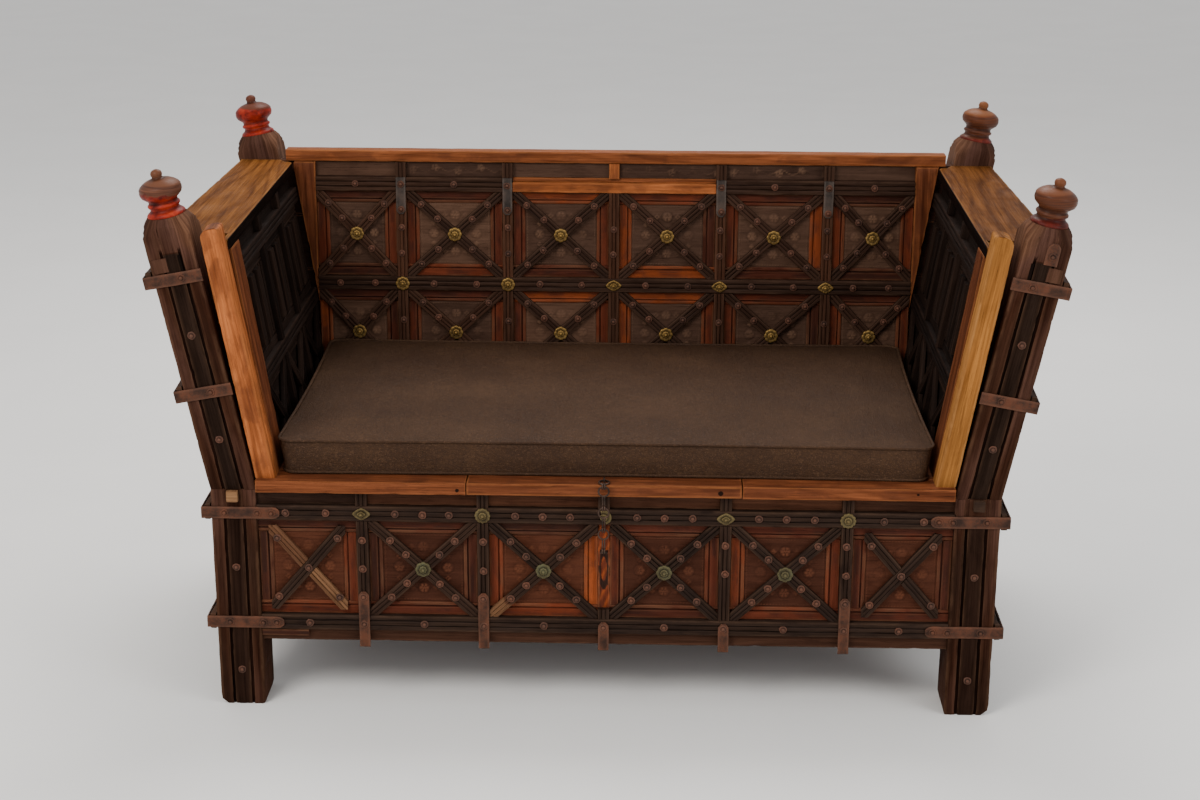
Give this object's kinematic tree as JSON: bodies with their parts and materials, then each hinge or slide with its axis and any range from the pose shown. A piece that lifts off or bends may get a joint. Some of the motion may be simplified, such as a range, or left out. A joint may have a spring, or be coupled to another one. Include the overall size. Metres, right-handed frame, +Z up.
{
  "type": "storage settee",
  "caption": "High-sided wooden settee made of an old iron-bound chest, with leaning corner posts, turned finials, a storage box under a pivoted seat hatch and a loose box cushion.",
  "frame": {"origin": "middle of the floor area that the settee covers, on the floor", "axes": "+Z up, +X to the right of someone facing the settee's front, front towards -Y"},
  "size_m": [1.6572, 0.8595, 1.0329],
  "materials": {
    "wood_dark": "matte",
    "wood_red": "matte",
    "wood_panel": "matte",
    "wood_orange": "satin",
    "wood_gold": "satin",
    "iron": "matte",
    "brass": "satin",
    "lacquer": "satin",
    "hide": "satin"
  },
  "bodies": {
    "frame": {"lower_post_front_left": "wood_dark", "lower_post_front_right": "wood_dark", "lower_post_back_left": "wood_dark", "lower_post_back_right": "wood_dark", "upper_post_front_left": "wood_dark", "upper_post_front_right": "wood_dark", "upper_post_back_left": "wood_dark", "upper_post_back_right": "wood_dark", "finial_front_left": "lacquer", "finial_front_right": "lacquer", "finial_back_left": "lacquer", "finial_back_right": "lacquer", "front_wall": "wood_red", "front_panels": "wood_panel", "front_battens": "wood_red", "front_strips": "wood_dark", "front_crosses": "wood_dark", "front_rivets": "iron", "back_wall": "wood_panel", "back_panels": "wood_panel", "back_battens": "wood_red", "back_strips": "wood_dark", "back_crosses": "wood_dark", "back_rivets": "iron", "side_walls": "wood_dark", "side_panels": "wood_panel", "side_strips": "wood_dark", "side_crosses": "wood_dark", "side_rivets": "iron", "side_rails": "wood_dark", "rear_wall": "wood_dark", "rear_ledges": "wood_dark", "arm_walls": "wood_dark", "arm_linings": "wood_dark", "lining_strips": "wood_dark", "arm_cap_left": "wood_gold", "arm_cap_right": "wood_gold", "front_trim_left": "wood_orange", "front_trim_right": "wood_gold", "arm_stiles": "wood_orange", "corner_boards": "wood_orange", "back_cap_rail": "wood_orange", "repair_strips": "wood_orange", "post_bands": "iron", "iron_tabs": "iron", "brass_bosses": "brass", "post_pegs": "wood_dark", "chest_floor": "wood_red", "bearers": "wood_red", "seat_boards": "wood_orange", "lock_staple": "iron"},
    "lid": {"seat_lid": "wood_orange", "lid_cleats": "wood_red", "lid_pins": "iron", "chain_staple": "iron"},
    "link_1": {"chain_link_1": "iron"},
    "link_2": {"chain_link_2": "iron"},
    "link_3": {"chain_link_3": "iron"},
    "link_4": {"chain_link_4": "iron"},
    "cushion": {"seat_cushion": "hide"}
  },
  "joints": [
    {"name": "lid_hinge", "type": "hinge", "parent": "frame", "child": "lid", "pos_m": [0, -0.069, 0.44865], "axis": [-1, 0, 0], "range_deg": [0, 95]},
    {"name": "cushion_lift", "type": "slide", "parent": "frame", "child": "cushion", "axis": [0, 0, 1], "range_m": [0, 0.7]},
    {"name": "chain_1", "type": "hinge", "parent": "lid", "child": "link_1", "pos_m": [0, -0.394, 0.4626], "axis": [-1, 0, 0], "range_deg": [0, 60]},
    {"name": "chain_2", "type": "hinge", "parent": "link_1", "child": "link_2", "pos_m": [0, -0.42498, 0.46152], "axis": [-1, 0, 0], "range_deg": [0, 60]},
    {"name": "chain_3", "type": "hinge", "parent": "link_2", "child": "link_3", "pos_m": [0, -0.42498, 0.41952], "axis": [-1, 0, 0], "range_deg": [0, 60]},
    {"name": "chain_4", "type": "hinge", "parent": "link_3", "child": "link_4", "pos_m": [0, -0.42498, 0.37752], "axis": [-1, 0, 0], "range_deg": [0, 60]}
  ],
  "couplings": [
    {"joint": "cushion_lift", "follows": "lid_hinge", "m_per_rad": 0.42}
  ]
}
